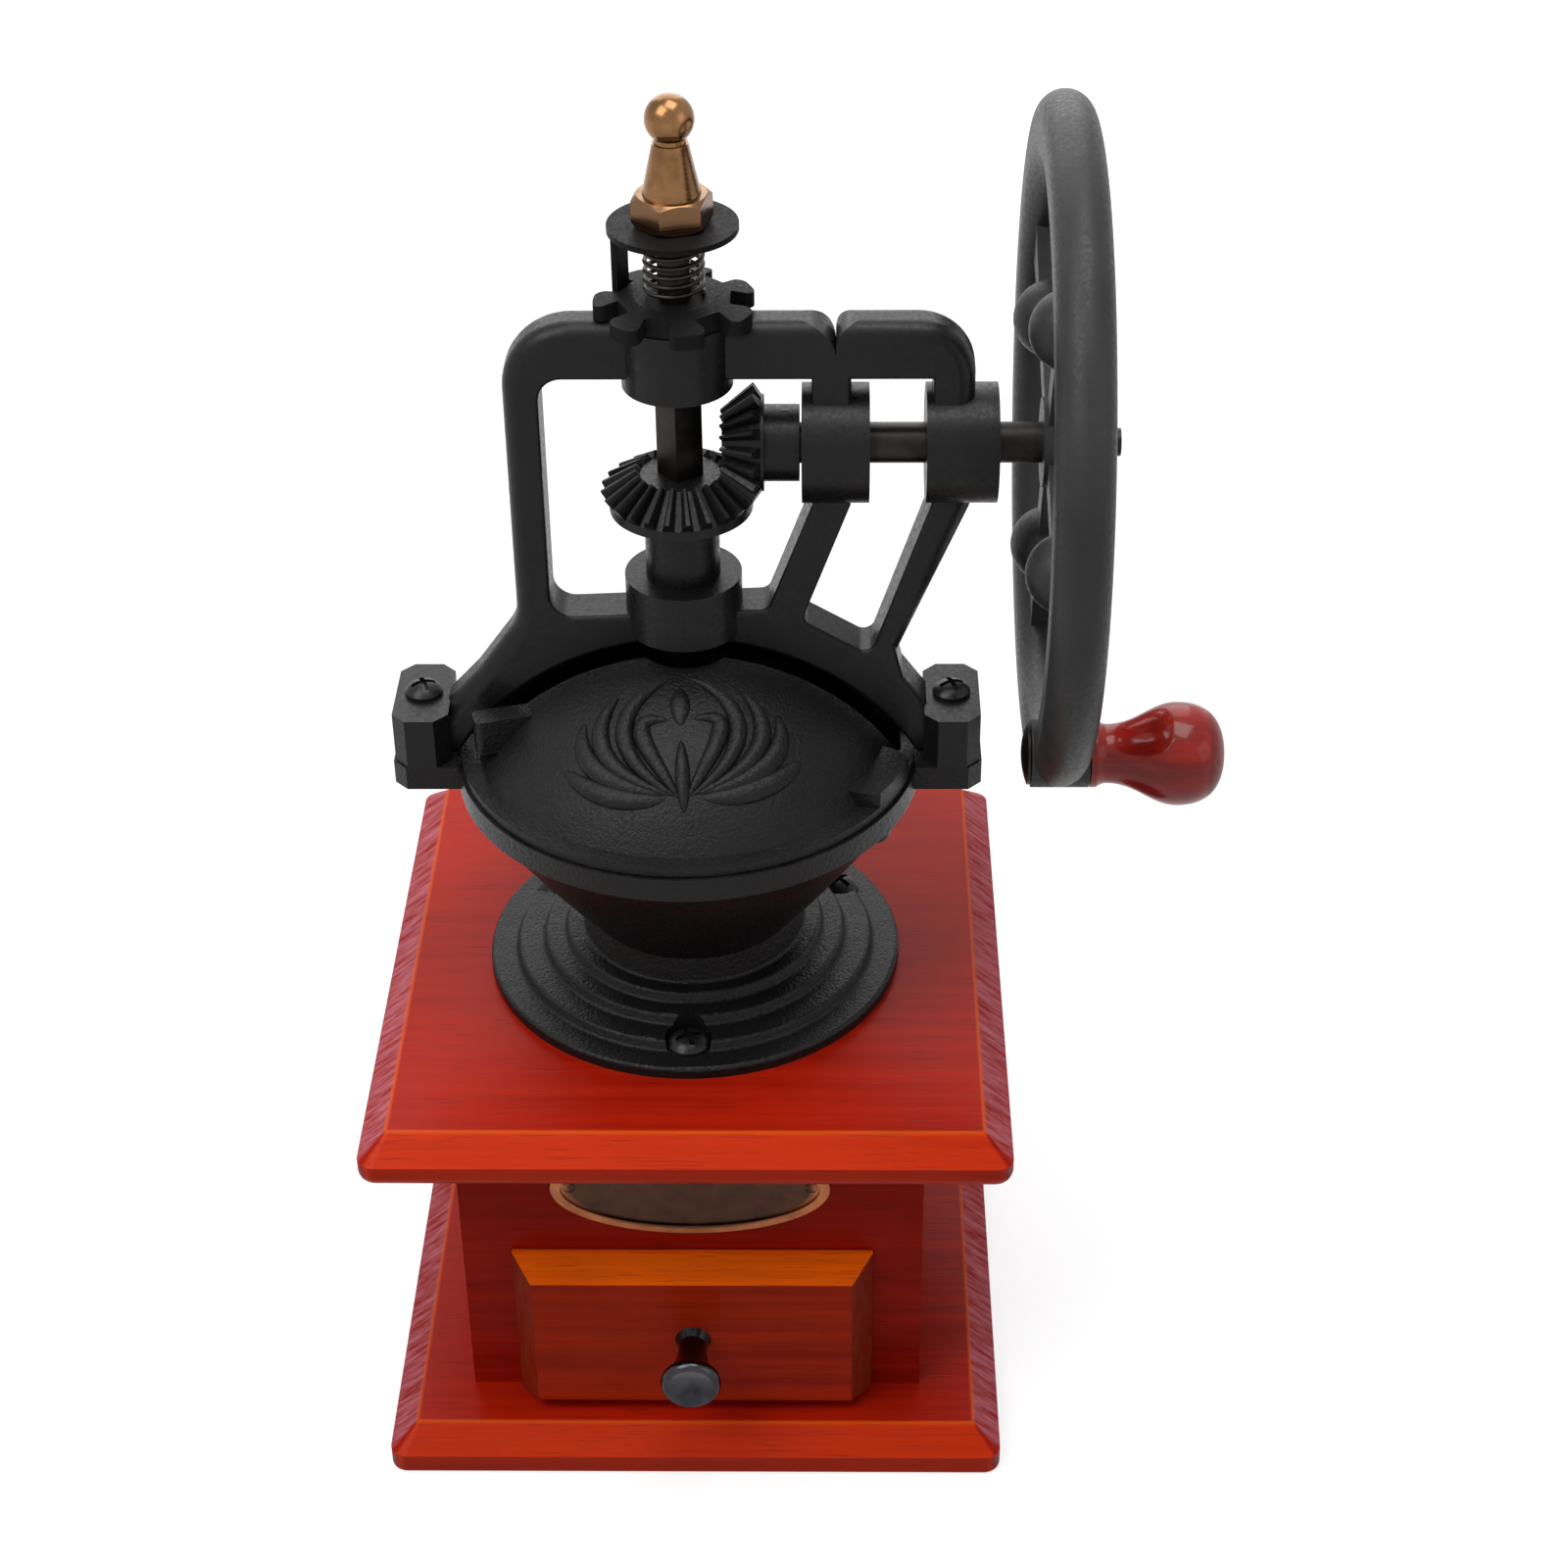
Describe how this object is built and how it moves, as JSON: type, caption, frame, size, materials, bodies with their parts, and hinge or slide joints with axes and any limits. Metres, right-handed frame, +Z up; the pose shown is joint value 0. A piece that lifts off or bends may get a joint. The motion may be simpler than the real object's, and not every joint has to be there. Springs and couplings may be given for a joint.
{
  "type": "hand_crank_coffee_grinder",
  "caption": "Box coffee mill with a side hand wheel, open bevel gears, a cast hopper with a swinging lid and a drawer in a red stained wooden box.",
  "frame": {"origin": "centre of the flat underside of the base plate", "axes": "+Z up along the spindle, -Y towards the drawer front, +X towards the hand wheel"},
  "size_m": [0.1878, 0.1509, 0.315],
  "materials": {
    "stained_wood": "gloss",
    "pale_wood": "matte",
    "handle_wood": "gloss",
    "black_iron": "satin",
    "frame_iron": "satin",
    "wheel_iron": "satin",
    "black_screw": "satin",
    "burr_iron": "matte",
    "dark_steel": "satin",
    "plain_steel": "satin",
    "dark_nickel": "gloss",
    "old_copper": "satin",
    "turned_brass": "satin"
  },
  "bodies": {
    "mill": {"base_plate": "stained_wood", "base_screws": "plain_steel", "front_panel": "stained_wood", "back_panel": "stained_wood", "left_panel": "stained_wood", "right_panel": "stained_wood", "top_plate": "stained_wood", "badge_plate": "old_copper", "badge_pins": "old_copper", "mill_body": "black_iron", "flange_screws": "black_screw", "ring_burr": "burr_iron", "lid_pin": "plain_steel", "rear_cover": "black_iron", "bridge": "frame_iron", "lug_screws": "black_screw"},
    "drawer": {"drawer_front": "stained_wood", "drawer_left_side": "pale_wood", "drawer_right_side": "pale_wood", "drawer_back": "pale_wood", "drawer_floor": "pale_wood", "drawer_knob": "dark_nickel", "knob_screw": "plain_steel"},
    "lid": {"front_lid": "black_iron"},
    "crank": {"drive_shaft": "dark_steel", "bevel_pinion": "frame_iron", "pinion_pin": "dark_steel", "hand_wheel": "wheel_iron", "wheel_washer": "dark_steel", "wheel_nut": "dark_steel"},
    "grip": {"handle": "handle_wood", "handle_bolt": "dark_steel"},
    "gear": {"bevel_gear": "frame_iron", "adjusting_dial": "frame_iron"},
    "spindle_unit": {"spindle": "dark_steel", "cone_burr": "burr_iron", "burr_nut": "plain_steel", "adjuster_spring": "dark_steel", "lock_plate": "frame_iron", "finial_nut": "turned_brass"}
  },
  "joints": [
    {"name": "wheel_spin", "type": "hinge", "parent": "mill", "child": "crank", "pos_m": [0, 0, 0.2375], "axis": [1, 0, 0], "continuous": true},
    {"name": "handle_spin", "type": "hinge", "parent": "crank", "child": "grip", "pos_m": [0.095, -0.03786, 0.18344], "axis": [1, 0, 0], "continuous": true},
    {"name": "burr_spin", "type": "hinge", "parent": "mill", "child": "gear", "pos_m": [0, 0, 0.2375], "axis": [0, 0, 1], "continuous": true},
    {"name": "grind_adjust", "type": "slide", "parent": "gear", "child": "spindle_unit", "axis": [0, 0, 1], "range_m": [-0.0015, 0], "deforming": ["adjuster_spring"]},
    {"name": "lid_swing", "type": "hinge", "parent": "mill", "child": "lid", "pos_m": [0.04102, -0.019, 0.163], "axis": [0, 0, 1], "range_deg": [0, 90]},
    {"name": "drawer_slide", "type": "slide", "parent": "mill", "child": "drawer", "axis": [0, -1, 0], "range_m": [0, 0.07]}
  ],
  "couplings": [
    {"joint": "burr_spin", "follows": "wheel_spin", "ratio": 0.70833}
  ]
}
